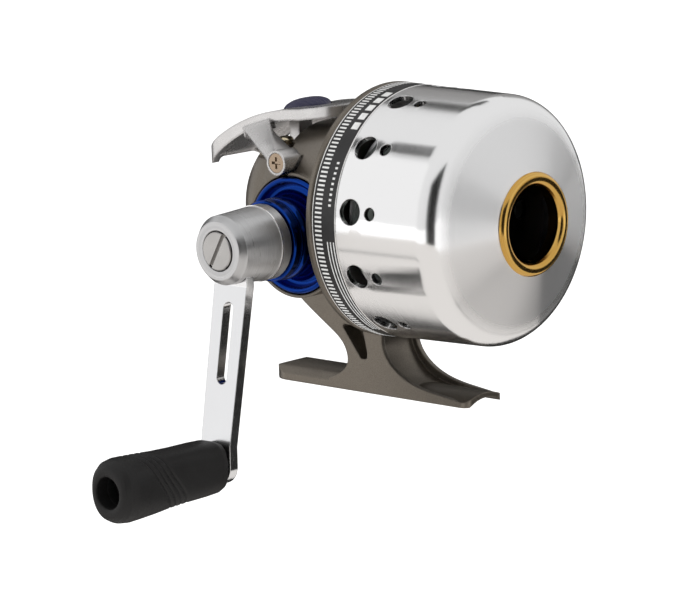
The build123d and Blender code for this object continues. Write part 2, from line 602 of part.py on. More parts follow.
# width along X and height along Z of the grip's rounded sections, from the arm outwards
GRIP_SECTIONS = (
    (GRIP_START, 9.2, 9.8, 3.6), (50.4, 10.4, 12.0, 3.8), (58.0, 9.8, 12.4, 3.4), (66.0, 10.2, 13.0, 3.8),
    (73.0, 12.2, 14.2, 4.8), (78.5, 12.6, 14.6, 5.6), (GRIP_END, 9.6, 11.4, 4.4),
)
with BuildPart() as grip_cover:
    for outward, width, height, corner in GRIP_SECTIONS:
        with BuildSketch(Plane((CRANK_X, -outward, GRIP_Z), x_dir=(1, 0, 0), z_dir=(0, -1, 0))):
            RectangleRounded(width, height, corner)
    loft()
    with BuildSketch(Plane((CRANK_X, -GRIP_START + 1, GRIP_Z), x_dir=(1, 0, 0), z_dir=(0, -1, 0))):
        Circle(4.42)
    extrude(amount=78.02 - GRIP_START + 1, mode=Mode.SUBTRACT)
    with BuildSketch(Plane((CRANK_X, -77, GRIP_Z), x_dir=(1, 0, 0), z_dir=(0, -1, 0))):
        Circle(GRIP_HOLE_R)
    extrude(amount=8, mode=Mode.SUBTRACT)

# ---- centre shaft, spinner head and pickup pin ------------------------------------------------------------
with BuildPart() as centre_shaft:
    with BuildSketch(across(-22.0)):
        Circle(SHAFT_R)
        with Locations((0, SHAFT_R * 0.7 + 5)):
            Rectangle(10, 10, mode=Mode.SUBTRACT)
    extrude(amount=48.4)
    with BuildSketch(across(26.4)):
        Circle(SHAFT_R)
    extrude(amount=8.4)

shaft_collar = ring(-17.5, -16.3, SHAFT_R, 2.25, ALONG_REEL, REEL_AXIS)

COIL_MEAN, COIL_WIRE, COIL_START, COIL_END, COIL_TURNS = 1.95, 0.26, -15.9, 0.3, 7
with BuildPart() as shaft_return_spring:
    with BuildLine():
        coil = Helix((COIL_END - COIL_START) / COIL_TURNS, COIL_END - COIL_START, COIL_MEAN,
                     center=(COIL_START, 0, AXIS_Z), direction=(1, 0, 0))
    with BuildSketch(Plane(coil @ 0, z_dir=coil % 0)):
        Circle(COIL_WIRE)
    sweep(is_frenet=True)

with BuildPart() as spinner_head:
    with BuildSketch(ALONG_REEL):
        with BuildLine():
            Polyline(
                (26.6, SHAFT_R), (26.6, 4.2), (30.2, 4.2), (30.2, 21.4), (29.2, 22.5), (19.6, 22.5), (19.6, 23.6),
                (29.4, 23.6), (31.4, 21.8), (31.4, SHAFT_R), close=True,
            )
        make_face()
    revolve(axis=REEL_AXIS)
    with BuildSketch(across(30)):
        with PolarLocations(13.5, 6):
            Circle(2.2)
    extrude(amount=3, mode=Mode.SUBTRACT)
    # guide block for the pickup pin, and the bore that it slides in
    with BuildSketch(Plane((27.2, 0, AXIS_Z + 18.4), x_dir=(1, 0, 0), z_dir=(0, 0, 1))):
        Rectangle(3.6, 4.0)
    extrude(amount=4.6)
    with BuildSketch(Plane((27.2, 0, AXIS_Z + 17), x_dir=(1, 0, 0), z_dir=(0, 0, 1))):
        Circle(0.95)
    extrude(amount=9, mode=Mode.SUBTRACT)

with BuildPart() as spinner_nut:
    with BuildSketch(across(31.42)):
        RegularPolygon(3.6, 6)
        Circle(SHAFT_R, mode=Mode.SUBTRACT)
    extrude(amount=2.4)

with BuildPart() as pickup_pin:
    with BuildSketch(Plane((27.2, 0, AXIS_Z + 17.2), x_dir=(1, 0, 0), z_dir=(0, 0, 1))):
        Circle(0.9)
    extrude(amount=8.2)
    fillet(pickup_pin.edges().sort_by(Axis.Z)[-1], 0.5)

# ---- thumb lever ---------------------------------------------------------------------------------------------
LEVER_TIP, LEVER_MID, LEVER_KNEE, LEVER_NOSE = (-46.2, 53.4), (-29.8, 62.9), (-14.6, 65.7), (-4.3, 67.15)


def lever_curve(drop):
    """The lever's arched top line, lowered by a thickness, as three points and the front end."""
    return [(x + drop * lean, z - drop) for (x, z), lean in
            ((LEVER_TIP, 0.75), (LEVER_MID, 0.35), (LEVER_KNEE, 0.15), (LEVER_NOSE, 0.1))]


def lever_slice(top_drop, bottom_drop):
    """Closed side outline of the lever between two lowered copies of its top line."""
    top, bottom = lever_curve(top_drop), lever_curve(bottom_drop)
    ThreePointArc(top[0], top[1], top[2])
    Polyline(top[2], top[3], bottom[3], bottom[2])
    ThreePointArc(bottom[2], bottom[1], bottom[0])
    Line(bottom[0], top[0])


LEVER_CENTRE, LEVER_LENGTH = (LEVER_TIP[0] + LEVER_NOSE[0]) / 2, LEVER_NOSE[0] - LEVER_TIP[0]
with BuildPart() as underside:
    with BuildSketch(side_at(0)):
        with BuildLine():
            lever_slice(LEVER_SKIN, LEVER_THICK + 3)
        make_face()
    extrude(amount=LEVER_HALF, both=True)
    with BuildSketch(Plane.XY.offset(40)):
        with Locations((LEVER_CENTRE, 0)):
            RectangleRounded(LEVER_LENGTH - 2.4, 2 * (LEVER_HALF - LEVER_RIM), 5.0)
    extrude(amount=40, mode=Mode.INTERSECT)

with BuildPart() as pad_blank:
    with BuildSketch(side_at(0)):
        with BuildLine():
            pad_low, pad_high = lever_curve(0.9), lever_curve(-1.6)
            ThreePointArc(pad_low[0], pad_low[1], pad_low[2])
            Polyline(pad_low[2], pad_low[3], pad_high[3], pad_high[2])
            ThreePointArc(pad_high[2], pad_high[1], pad_high[0])
            Line(pad_high[0], pad_low[0])
        make_face()
    extrude(amount=PAD_HALF, both=True)
    with BuildSketch(Plane.XY.offset(40)):
        with Locations((PAD_X, 0)):
            Ellipse(PAD_LENGTH / 2, PAD_HALF)
    extrude(amount=40, mode=Mode.INTERSECT)

with BuildPart() as thumb_pad:
    add(pad_blank.part)
    top_edge = thumb_pad.faces().sort_by(Axis.Z)[-1].edges()
    fillet(top_edge, 1.1)

with BuildPart() as thumb_lever:
    with BuildSketch(side_at(0)):
        with BuildLine():
            lever_slice(0, LEVER_THICK)
        make_face()
    extrude(amount=LEVER_HALF, both=True)
    with BuildSketch(Plane.XY.offset(40)):
        with Locations((LEVER_CENTRE, 0)):
            RectangleRounded(LEVER_LENGTH + 1.0, 2 * LEVER_HALF, 6.5)
    extrude(amount=40, mode=Mode.INTERSECT)
    add(underside.part, mode=Mode.SUBTRACT)
    add(pad_blank.part, mode=Mode.SUBTRACT)
    # tang that reaches down through the housing's slot to the end of the centre shaft
    with BuildSketch(side_at(0)):
        with BuildLine():
            Polyline(
                (-22.3, AXIS_Z - 3.0), (-22.3, 63.75), (-25.5, 63.1), (-25.5, AXIS_Z - 3.0), close=True,
            )
        make_face()
    extrude(amount=2.2, both=True)
    # arms that slope out to the pivot eyes on both sides
    for side in (-1, 1):
        with BuildSketch(Plane((-27.4, side * (LEVER_HALF - 1.3), 60.6), x_dir=(1, 0, 0.3), z_dir=(0, side, 0))):
            Rectangle(9.2, 2.4)
        extrude(amount=1.6)
        with BuildSketch(Plane((-27.4, side * (LEVER_HALF + 0.2), 60.5), x_dir=(1, 0, 0.3), z_dir=(0, side, 0))):
            Rectangle(9.2, 2.4)
        with BuildSketch(Plane((PIVOT_X - 1.2, side * 18.65, PIVOT_Z + 1.2), x_dir=(0, 1, 0), z_dir=(1, 0, -0.6))):
            Rectangle(EYE_OUTER - EYE_INNER, 3.4)
        loft(ruled=True)
        with BuildSketch(Plane((PIVOT_X, side * EYE_INNER, PIVOT_Z), z_dir=(0, side, 0))):
            Circle(EYE_R)
        extrude(amount=EYE_OUTER - EYE_INNER)
        with BuildSketch(Plane((PIVOT_X, side * (EYE_INNER - 1), PIVOT_Z), z_dir=(0, side, 0))):
            Circle(PIVOT_R + RUNNING)
        extrude(amount=8, mode=Mode.SUBTRACT)
        with BuildSketch(Plane((PIVOT_X, side * (EYE_OUTER - 1.1), PIVOT_Z), z_dir=(0, side, 0))):
            Circle(2.35)
        extrude(amount=3, mode=Mode.SUBTRACT)

with BuildPart() as lever_pivot_screws:
    for side in (-1, 1):
        with BuildSketch(Plane((PIVOT_X, side * 12.6, PIVOT_Z), z_dir=(0, side, 0))):
            Circle(1.23)
        extrude(amount=EYE_INNER - 0.33 - 12.6)
        with BuildSketch(Plane((PIVOT_X, side * (EYE_INNER - 0.33), PIVOT_Z), z_dir=(0, side, 0))):
            Circle(PIVOT_R)
        extrude(amount=EYE_OUTER - 1.05 - EYE_INNER + 0.33)
        with BuildSketch(Plane((PIVOT_X, side * (EYE_OUTER - 1.05), PIVOT_Z), z_dir=(0, side, 0))):
            Circle(2.28)
        extrude(amount=0.95)
        with BuildSketch(Plane((PIVOT_X, side * (EYE_OUTER - 0.6), PIVOT_Z), z_dir=(0, side, 0))):
            Rectangle(0.6, 2.7)
            Rectangle(2.7, 0.6)
        extrude(amount=1, mode=Mode.SUBTRACT)

with BuildPart() as lever_stop_screw:
    with BuildSketch(Plane.XY.offset(AXIS_Z + BAY_RISE - 0.9)):
        with Locations((-19.4, -10)):
            Circle(0.88)
    extrude(amount=3.0)
    with BuildSketch(Plane.XY.offset(AXIS_Z + BAY_RISE + 2.1)):
        with Locations((-19.4, -10)):
            Circle(1.9)
    extrude(amount=1.7)
    fillet(lever_stop_screw.edges().sort_by(Axis.Z)[-1], 1.0)
    with BuildSketch(Plane.XY.offset(AXIS_Z + BAY_RISE + 3.2)):
        with Locations((-19.4, -10)):
            Rectangle(0.5, 5)
    extrude(amount=2, mode=Mode.SUBTRACT)

# ---- anti-reverse pawl -------------------------------------------------------------------------------------------
with BuildPart() as pawl_pin:
    with BuildSketch(facing(-PAWL_POST_END)):
        with Locations((PAWL_X, PAWL_Z)):
            Circle(PAWL_POST_R)
    extrude(amount=PAWL_POST_END - 4.5)
    with BuildSketch(facing(-4.5)):
        with Locations((PAWL_X, PAWL_Z)):
            Circle(1.2)
    extrude(amount=1.7)

with BuildPart() as anti_reverse_pawl:
    with BuildSketch(facing(-4.4)):
        with BuildLine():
            Polyline((PAWL_X - 1.6, PAWL_Z - 1.2), (PAWL_X + 1.0, PAWL_Z - 2.0), (-7.95, 1.75), (-8.1, 2.75),
                     (PAWL_X + 0.6, PAWL_Z + 2.4), close=True)
        make_face()
        with Locations((PAWL_X, PAWL_Z)):
            Circle(2.3)
            Circle(1.2 + RUNNING, mode=Mode.SUBTRACT)
    extrude(amount=1.4)

# ---- files ---------------------------------------------------------------------------------------------------------
pieces = {
    "body_housing": body_housing,
    "deck_plate": deck_plate,
    "deck_screws": deck_screws,
    "pinion_bearing_inner": pinion_bearing_inner,
    "pinion_bearing_outer": pinion_bearing_outer,
    "pinion_bearing_balls": pinion_bearing_balls,
    "front_bushing": front_bushing,
    "spool": spool,
    "wound_line": wound_line,
    "spool_clip": spool_clip,
    "cover_seal": cover_seal,
    "nose_cover": nose_cover,
    "cover_band": cover_band,
    "line_guide_ring": line_guide_ring,
    "snubber_ring": snubber_ring,
    "crank_shaft": crank_shaft,
    "drive_gear": drive_gear,
    "pinion_gear": pinion_gear,
    "drag_fibre_washers": drag_fibre_washers,
    "drag_steel_washer": drag_steel_washer,
    "drag_pressure_plate": drag_pressure_plate,
    "drag_spring_washers": drag_spring_washers,
    "ratchet_wheel": ratchet_wheel,
    "far_bushing": far_bushing,
    "shaft_clip": shaft_clip,
    "crank_bearing_inner": crank_bearing_inner,
    "crank_bearing_outer": crank_bearing_outer,
    "crank_bearing_balls": crank_bearing_balls,
    "drag_dial": drag_dial,
    "hub_sleeve": hub_sleeve,
    "hub_trim_ring": hub_trim_ring,
    "crank_hub": crank_hub,
    "crank_arm": crank_arm,
    "crank_screw": crank_screw,
    "grip_spindle": grip_spindle,
    "grip_washer": grip_washer,
    "grip_core": grip_core,
    "grip_cover": grip_cover,
    "centre_shaft": centre_shaft,
    "shaft_collar": shaft_collar,
    "shaft_return_spring": shaft_return_spring,
    "spinner_head": spinner_head,
    "spinner_nut": spinner_nut,
    "pickup_pin": pickup_pin,
    "thumb_lever": thumb_lever,
    "thumb_pad": thumb_pad,
    "lever_pivot_screws": lever_pivot_screws,
    "lever_stop_screw": lever_stop_screw,
    "pawl_pin": pawl_pin,
    "anti_reverse_pawl": anti_reverse_pawl,
}
os.makedirs("parts", exist_ok=True)
for name, piece in pieces.items():
    piece.part.label = name
    export_step(piece.part, f"parts/{name}.step")
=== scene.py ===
import json
import math

import bpy
from mathutils import Matrix, Vector


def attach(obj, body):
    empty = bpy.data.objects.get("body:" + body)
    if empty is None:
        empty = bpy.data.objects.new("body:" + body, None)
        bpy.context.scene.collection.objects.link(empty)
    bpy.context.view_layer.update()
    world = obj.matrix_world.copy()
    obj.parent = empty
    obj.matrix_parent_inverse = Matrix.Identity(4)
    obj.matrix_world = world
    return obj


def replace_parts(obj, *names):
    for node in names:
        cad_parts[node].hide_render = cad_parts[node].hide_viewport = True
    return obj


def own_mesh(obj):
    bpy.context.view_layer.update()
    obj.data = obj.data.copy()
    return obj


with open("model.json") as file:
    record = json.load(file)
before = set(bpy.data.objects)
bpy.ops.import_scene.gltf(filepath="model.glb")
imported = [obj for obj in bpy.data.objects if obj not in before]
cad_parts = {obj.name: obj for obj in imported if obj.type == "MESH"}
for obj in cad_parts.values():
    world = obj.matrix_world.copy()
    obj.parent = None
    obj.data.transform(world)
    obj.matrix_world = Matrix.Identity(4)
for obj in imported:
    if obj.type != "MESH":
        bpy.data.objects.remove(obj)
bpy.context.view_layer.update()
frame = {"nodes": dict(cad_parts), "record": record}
nodes = frame["nodes"]

MM = 0.001

# ---- sizes in millimetres, fitted to the CAD pieces ----------------------------------------------
AXIS_Z = 42.8  # reel axis above the foot's seat
CRANK_X, CRANK_Z, GRIP_Z = -8.5, 38.15, -10.2
BAND_REAR, BAND_FRONT, BAND_REAR_R, BAND_FRONT_R = 6.3, 13.2, 29.17, 29.0
GRIP_START, GRIP_END, GRIP_HOLE_R, GRIP_HOLE_FLOOR = 48.1, 81.5, 3.6, 57.7
PAD_X, PAD_LENGTH, PAD_HALF, PAD_RISE = -21.6, 12.2, 5.2, 1.9
LEVER_TIP, LEVER_MID, LEVER_KNEE, LEVER_NOSE = (-46.2, 53.4), (-29.8, 62.9), (-14.6, 65.7), (-4.3, 67.15)

# ---- sizes in millimetres that belong to the looks alone -----------------------------------------
CONE_START, CONE_SATIN = 40.6, 41.8  # where the cover starts to turn satin, and where it is fully so
SHOULDER_SPOT_X, COVER_SPOT_R = 38.5, 27.0  # spots on the cover that the studio's cards are aimed at
FLOOR_Z = -330.0

# ---- camera: the photograph's viewing angle ------------------------------------------------------
# angles in degrees, the rest in millimetres
CAMERA_AZIMUTH, CAMERA_ELEVATION, CAMERA_ROLL = 43.08, 10.72, -1.84
CAMERA_DISTANCE, CAMERA_RIGHT, CAMERA_UP = 811.3, -13.33, -21.69
CAMERA_AIM = Vector((6.0, 0.0, AXIS_Z))
CAMERA_LENS, CAMERA_SENSOR = 185.24782, 36


def add_camera():
    azimuth, elevation, roll = (math.radians(v) for v in (CAMERA_AZIMUTH, CAMERA_ELEVATION, CAMERA_ROLL))
    level = math.cos(elevation)
    back = Vector((math.sin(azimuth) * level, -math.cos(azimuth) * level, math.sin(elevation)))
    right = Vector((math.cos(azimuth), math.sin(azimuth), 0))
    up = back.cross(right)
    place = CAMERA_AIM + back * CAMERA_DISTANCE + right * CAMERA_RIGHT + up * CAMERA_UP
    across = math.cos(roll) * right + math.sin(roll) * up
    upright = math.cos(roll) * up - math.sin(roll) * right
    data = bpy.data.cameras.new("camera")
    data.sensor_width = CAMERA_SENSOR
    data.lens = CAMERA_LENS
    data.clip_start, data.clip_end = 0.01, 20
    camera = bpy.data.objects.new("camera", data)
    rows = [[across[i], upright[i], back[i], place[i] * MM] for i in range(3)]
    camera.matrix_world = Matrix(rows + [[0, 0, 0, 1]])
    bpy.context.scene.collection.objects.link(camera)
    bpy.context.scene.camera = camera
    return back


CAMERA_BACK = add_camera()


# ---- small tools ---------------------------------------------------------------------------------
def piece(name, points, faces, body, slot, smooth=True):
    """A mesh piece from points in millimetres. It rides on a CAD body and takes a slot's material."""
    data = bpy.data.meshes.new(name)
    data.from_pydata([tuple(c * MM for c in p) for p in points], [], faces)
    data.validate()
    data.polygons.foreach_set("use_smooth", [smooth] * len(data.polygons))
    data.materials.append(MATERIALS[slot])
    made = bpy.data.objects.new(name, data)
    bpy.context.scene.collection.objects.link(made)
    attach(made, body)
    return made


def about_reel(x, radius, turn):
    """A point at a turn about the reel axis, measured from straight up towards the crank side."""
    return (x, -radius * math.sin(turn), AXIS_Z + radius * math.cos(turn))


# ---- materials -----------------------------------------------------------------------------------
NOISE_SPAN = (0.35, 0.65)  # where most values of a noise texture lie
# for each axis that metal is turned about: the coordinates across it, and where it lies in them
LATHE_AXES = {"X": (("Y", 0.0), ("Z", AXIS_Z)), "Y": (("X", CRANK_X), ("Z", CRANK_Z))}


class Surface:
    """A Principled material with helpers for grain that is laid out in the part's own coordinates."""

    def __init__(self, name, colour, metallic, roughness, **sockets):
        self.material = bpy.data.materials.new(name)
        self.material.use_nodes = True
        self.tree = self.material.node_tree
        self.shader = self.tree.nodes["Principled BSDF"]
        self.shader.inputs["Base Color"].default_value = (*colour, 1)
        self.shader.inputs["Metallic"].default_value = metallic
        self.shader.inputs["Roughness"].default_value = roughness
        for socket, value in sockets.items():
            self.shader.inputs[socket.replace("_", " ")].default_value = value
        self.colour = colour
        self.normal = None

    def node(self, kind, **settings):
        made = self.tree.nodes.new(kind)
        for key, value in settings.items():
            setattr(made, key, value)
        return made

    def link(self, source, target):
        self.tree.links.new(source, target)

    def place(self):
        return self.node("ShaderNodeTexCoord").outputs["Object"]

    def split_place(self):
        split = self.node("ShaderNodeSeparateXYZ")
        self.link(self.place(), split.inputs[0])
        return split.outputs

    def maths(self, operation, *values):
        """The result of a math node, whose values are numbers or outputs of other nodes."""
        made = self.node("ShaderNodeMath", operation=operation)
        for value, target in zip(values, made.inputs):
            if isinstance(value, (int, float)):
                target.default_value = value
            else:
                self.link(value, target)
        return made.outputs[0]

    def spread(self, source, old, new):
        """A source's values, moved from an old span (low, high) to a new one and held inside it."""
        made = self.node("ShaderNodeMapRange")
        made.inputs["From Min"].default_value, made.inputs["From Max"].default_value = old
        made.inputs["To Min"].default_value, made.inputs["To Max"].default_value = new
        self.link(source, made.inputs["Value"])
        return made.outputs["Result"]

    def turned(self, about, fine, slow):
        """Coordinates whose first axis runs across the lines that a lathe leaves about an axis."""
        (first, first_at), (second, second_at) = LATHE_AXES[about]
        place = self.split_place()
        squares = []
        for name, at in ((first, first_at), (second, second_at)):
            away = self.maths("SUBTRACT", place[name], at * MM)
            squares.append(self.maths("MULTIPLY", away, away))
        radius = self.maths("SQRT", self.maths("ADD", *squares))
        across = self.maths("SUBTRACT", place[about], radius)
        joined = self.node("ShaderNodeCombineXYZ")
        scaled = (across, fine), (place[first], slow), (place[second], slow)
        for (source, scale), target in zip(scaled, joined.inputs):
            self.link(self.maths("MULTIPLY", source, scale), target)
        return joined.outputs[0]

    def noise(self, vector, scale, detail):
        made = self.node("ShaderNodeTexNoise")
        made.inputs["Scale"].default_value = scale
        made.inputs["Detail"].default_value = detail
        self.link(vector, made.inputs["Vector"])
        return made.outputs["Fac"]

    def bump(self, height, strength, distance):
        made = self.node("ShaderNodeBump")
        made.inputs["Strength"].default_value = strength
        made.inputs["Distance"].default_value = distance * MM
        self.link(height, made.inputs["Height"])
        if self.normal:
            self.link(self.normal, made.inputs["Normal"])
        self.normal = made.outputs["Normal"]
        self.link(self.normal, self.shader.inputs["Normal"])

    def soft_edges(self, radius):
        """Edges catch the light as if rounded, because no real edge is sharp."""
        made = self.node("ShaderNodeBevel", samples=4)
        made.inputs["Radius"].default_value = radius * MM
        self.normal = made.outputs["Normal"]
        self.link(self.normal, self.shader.inputs["Normal"])

    def vary_roughness(self, source, low, high):
        self.link(self.spread(source, NOISE_SPAN, (low, high)), self.shader.inputs["Roughness"])

    def vary_colour(self, source, other):
        made = self.node("ShaderNodeMix", data_type="RGBA")
        made.inputs[6].default_value = (*self.colour, 1)
        made.inputs[7].default_value = (*other, 1)
        self.link(self.spread(source, NOISE_SPAN, (0, 1)), made.inputs[0])
        self.link(made.outputs[2], self.shader.inputs["Base Color"])


def painted(name, colour, roughness, fleck, edge=0.25, metallic=0.6):
    """Satin metallic paint: fine flecks, a light orange-peel and a clear coat."""
    made = Surface(name, colour, metallic, roughness, Coat_Weight=0.2, Coat_Roughness=0.3)
    made.soft_edges(edge)
    flecks = made.noise(made.place(), 5200, 2)
    made.vary_colour(flecks, fleck)
    made.bump(made.noise(made.place(), 900, 2), 0.06, 0.04)
    made.vary_roughness(made.noise(made.place(), 120, 3), roughness - 0.04, roughness + 0.05)
    return made.material


def turned_metal(name, colour, roughness, about, grain, strength, other=None, edge=0.2, metallic=1.0):
    """Metal with the fine lines of a lathe or a brush about the reel's or the crank's axis."""
    made = Surface(name, colour, metallic, roughness)
    made.soft_edges(edge)
    lines = made.noise(made.turned(about, grain, 45), 1, 4)
    made.bump(lines, strength, 0.02)
    made.vary_roughness(lines, roughness * 0.8, roughness * 1.25)
    if other:
        made.vary_colour(lines, other)
    return made.material


def plain_metal(name, colour, roughness, edge=0.15, smear=260):
    """Metal with faint handling marks."""
    made = Surface(name, colour, 1.0, roughness)
    made.soft_edges(edge)
    marks = made.noise(made.place(), smear, 4)
    made.bump(marks, 0.08, 0.03)
    made.vary_roughness(marks, roughness * 0.85, roughness * 1.2)
    return made.material


def moulded(name, colour, roughness, grain, strength, edge=0.3, other=None, **sockets):
    """Moulded rubber or plastic with a fine spark-eroded grain."""
    made = Surface(name, colour, 0.0, roughness, **sockets)
    made.soft_edges(edge)
    grains = made.noise(made.place(), grain, 3)
    made.bump(grains, strength, 0.05)
    made.vary_roughness(grains, roughness - 0.06, roughness + 0.06)
    if other:
        made.vary_colour(made.noise(made.place(), 90, 4), other)
    return made.material


SIDE_ROUGHNESS, CONE_ROUGHNESS, LINES_ROUGHNESS = 0.12, 0.28, 0.06  # the last is what the brushed lines add


def polished_cover(name):
    """Polished aluminium with fine brushing round the reel axis; the front cone is more satin than the side."""
    made = Surface(name, (0.87, 0.868, 0.87), 1.0, 0.25, Anisotropic=0.95, Anisotropic_Rotation=0.25)
    made.soft_edges(0.35)
    round_axis = made.node("ShaderNodeTangent", direction_type="RADIAL", axis="X")
    made.link(round_axis.outputs[0], made.shader.inputs["Tangent"])
    lines = made.noise(made.turned("X", 2600, 30), 1, 5)
    made.bump(lines, 0.10, 0.012)
    coarse = made.noise(made.turned("X", 2200, 14), 1, 3)
    made.bump(coarse, 0.34, 0.025)
    cone = (CONE_START * MM, CONE_SATIN * MM)
    satin = made.spread(made.split_place()["X"], cone, (SIDE_ROUGHNESS, CONE_ROUGHNESS))
    made.link(made.maths("MULTIPLY_ADD", lines, LINES_ROUGHNESS, satin), made.shader.inputs["Roughness"])
    return made.material


MATERIALS = {
    "housing_paint": painted("housing_paint", (0.14, 0.121, 0.098), 0.34, (0.19, 0.166, 0.137), 0.6, 0.85),
    "deck": turned_metal("deck", (0.55, 0.54, 0.53), 0.4, "X", 1500, 0.2),
    "plain_screw": plain_metal("plain_screw", (0.6, 0.59, 0.57), 0.3),
    "bearing_steel": plain_metal("bearing_steel", (0.65, 0.65, 0.66), 0.15),
    "bronze_bush": plain_metal("bronze_bush", (0.55, 0.36, 0.18), 0.35),
    "spool_metal": turned_metal("spool_metal", (0.62, 0.62, 0.63), 0.3, "X", 1800, 0.2),
    "line": moulded("line", (0.62, 0.68, 0.64), 0.25, 700, 0.3),
    "spring_steel": plain_metal("spring_steel", (0.5, 0.5, 0.51), 0.28),
    "seal_rubber": moulded("seal_rubber", (0.02, 0.02, 0.02), 0.6, 900, 0.2),
    "cover_metal": polished_cover("cover_metal"),
    "band": moulded("band", (0.010, 0.0095, 0.010), 0.42, 900, 0.1, 0.2),
    "guide_ring": turned_metal("guide_ring", (0.70, 0.44, 0.125), 0.17, "X", 2200, 0.12, (0.58, 0.33, 0.075)),
    # painted shade: the spinner head is near-black so the inside of the cover, seen through the nose ring and the
    # holes, reads dark
    "rotor_dark": turned_metal("rotor_dark", (0.03, 0.03, 0.03), 0.4, "X", 1500, 0.1),
    "shaft_steel": plain_metal("shaft_steel", (0.6, 0.6, 0.61), 0.22),
    "gear_brass": turned_metal("gear_brass", (0.66, 0.46, 0.2), 0.3, "Y", 1500, 0.15),
    "fibre": moulded("fibre", (0.12, 0.08, 0.05), 0.8, 1200, 0.6),
    "dial_blue": turned_metal("dial_blue", (0.007, 0.042, 0.27), 0.16, "Y", 1800, 0.08, (0.004, 0.03, 0.2)),
    "hub_silver": turned_metal("hub_silver", (0.58, 0.58, 0.585), 0.33, "Y", 3400, 0.09, (0.52, 0.52, 0.525)),
    "trim": plain_metal("trim", (0.88, 0.87, 0.86), 0.12),
    "screw_nickel": plain_metal("screw_nickel", (0.45, 0.44, 0.43), 0.3),
    "arm_polished": plain_metal("arm_polished", (0.80, 0.80, 0.81), 0.14, 0.3, 180),
    "grip_core": moulded("grip_core", (0.012, 0.012, 0.012), 0.5, 900, 0.2),
    "grip_rubber": moulded(
        "grip_rubber", (0.0075, 0.007, 0.007), 0.5, 2600, 0.3, 0.3, (0.011, 0.0105, 0.0105), Specular_IOR_Level=0.25
    ),
    "lever_silver": painted("lever_silver", (0.54, 0.53, 0.525), 0.27, (0.63, 0.615, 0.61), 0.7, 0.9),
    "pad": moulded("pad", (0.014, 0.012, 0.045), 0.40, 1500, 0.2),
    "lever_screw": plain_metal("lever_screw", (0.34, 0.26, 0.19), 0.22),
    "stop_screw": plain_metal("stop_screw", (0.62, 0.54, 0.38), 0.2),
}

for entry in frame["record"]["subparts"]:
    mesh = nodes[entry["node"]].data
    mesh.materials.clear()
    mesh.materials.append(MATERIALS[entry["material_slot"]])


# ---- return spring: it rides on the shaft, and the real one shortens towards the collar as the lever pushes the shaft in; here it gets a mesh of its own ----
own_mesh(nodes["shaft_return_spring"])


# ---- thumb grip: soft rubber paddle with a bulbous end and fine ribs -----------------------------
# outward position, half width along X, half height along Z, squareness of the section
GRIP_STATIONS = (
    (48.1, 4.3, 4.7, 2.8), (48.7, 4.8, 5.5, 3.0), (50.4, 5.15, 6.0, 3.2), (54.0, 5.0, 6.15, 3.4),
    (60.0, 4.85, 6.2, 3.6), (66.0, 5.05, 6.45, 3.4), (70.0, 5.6, 6.8, 3.0), (74.0, 6.1, 7.1, 2.6),
    (77.5, 6.3, 7.3, 2.4), (79.6, 6.05, 7.05, 2.3), (80.8, 5.5, 6.4, 2.2), (81.4, 4.8, 5.6, 2.1),
    (81.5, 4.3, 4.9, 2.0),
)
RIBS = (69.5, 71.2, 72.9, 74.6)
RIB_DEPTH, RIB_HALF, RIB_SWEEP = 0.42, 0.30, 5.0
# outward position and radius down the end hole: its rounded lip, then its wall nearly to the floor
GRIP_HOLE = ((GRIP_END, 3.95), (81.35, 3.7), (81.0, GRIP_HOLE_R), (GRIP_HOLE_FLOOR + 0.1, GRIP_HOLE_R))
GRIP_INNER_R = 2.2  # hole in the grip's inner end, round the spindle


def between(stations, at):
    """Values of a station table at a position, in straight lines between its rows."""
    for low, high in zip(stations, stations[1:]):
        if at <= high[0]:
            share = (at - low[0]) / (high[0] - low[0])
            return [a + (b - a) * share for a, b in zip(low[1:], high[1:])]
    return list(stations[-1][1:])


def build_grip():
    steps, around = 150, 96
    points, faces = [], []
    for step in range(steps + 1):
        share = step / steps
        outward = GRIP_START + (GRIP_END - GRIP_START) * (1 - (1 - share) ** 1.25)
        half_x, half_z, square = between(GRIP_STATIONS, outward)
        for spoke in range(around):
            turn = 2 * math.pi * spoke / around
            c, s = math.cos(turn), math.sin(turn)
            reach = (abs(c) ** square + abs(s) ** square) ** (-1 / square)
            swept = outward + RIB_SWEEP * (1 - s)
            groove = sum(math.exp(-(((swept - rib) / RIB_HALF) ** 2)) for rib in RIBS)
            facing = max(0.0, s + 0.15) + max(0.0, c) * 0.9
            cut = RIB_DEPTH * groove * min(1.0, facing)
            points.append((CRANK_X + (half_x - cut) * reach * c, -outward, GRIP_Z + (half_z - cut) * reach * s))
    for outward, radius in GRIP_HOLE:
        for spoke in range(around):
            turn = 2 * math.pi * spoke / around
            points.append((CRANK_X + radius * math.cos(turn), -outward, GRIP_Z + radius * math.sin(turn)))
    rows = len(points) // around
    for row in range(rows - 1):
        for spoke in range(around):
            after = (spoke + 1) % around
            faces.append((row * around + spoke, (row + 1) * around + spoke,
                          (row + 1) * around + after, row * around + after))
    # inner end
    first = len(points)
    for spoke in range(around):
        turn = 2 * math.pi * spoke / around
        x, z = CRANK_X + GRIP_INNER_R * math.cos(turn), GRIP_Z + GRIP_INNER_R * math.sin(turn)
        points.append((x, -GRIP_START - 0.02, z))
    for spoke in range(around):
        after = (spoke + 1) % around
        faces.append((spoke, after, first + after, first + spoke))
    return piece("grip_rubber_cover", points, faces, "grip", "grip_rubber")


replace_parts(build_grip(), "grip_cover")


# ---- band: ticks all round and plain bars where a maker would print ------------------------------
TICKS, TICK_REAR, TICK_FRONT, TICK_SHARE = 178, 7.2, 9.1, 0.42  # share of the pitch that a tick fills
MARK_PROUD, MARK_SUNK, MARK_STEP = 0.06, 0.05, 1.5  # the step is the longest flat of a mark, in degrees


def band_radius(x):
    share = (x - BAND_REAR) / (BAND_FRONT - BAND_REAR)
    return BAND_REAR_R + (BAND_FRONT_R - BAND_REAR_R) * share


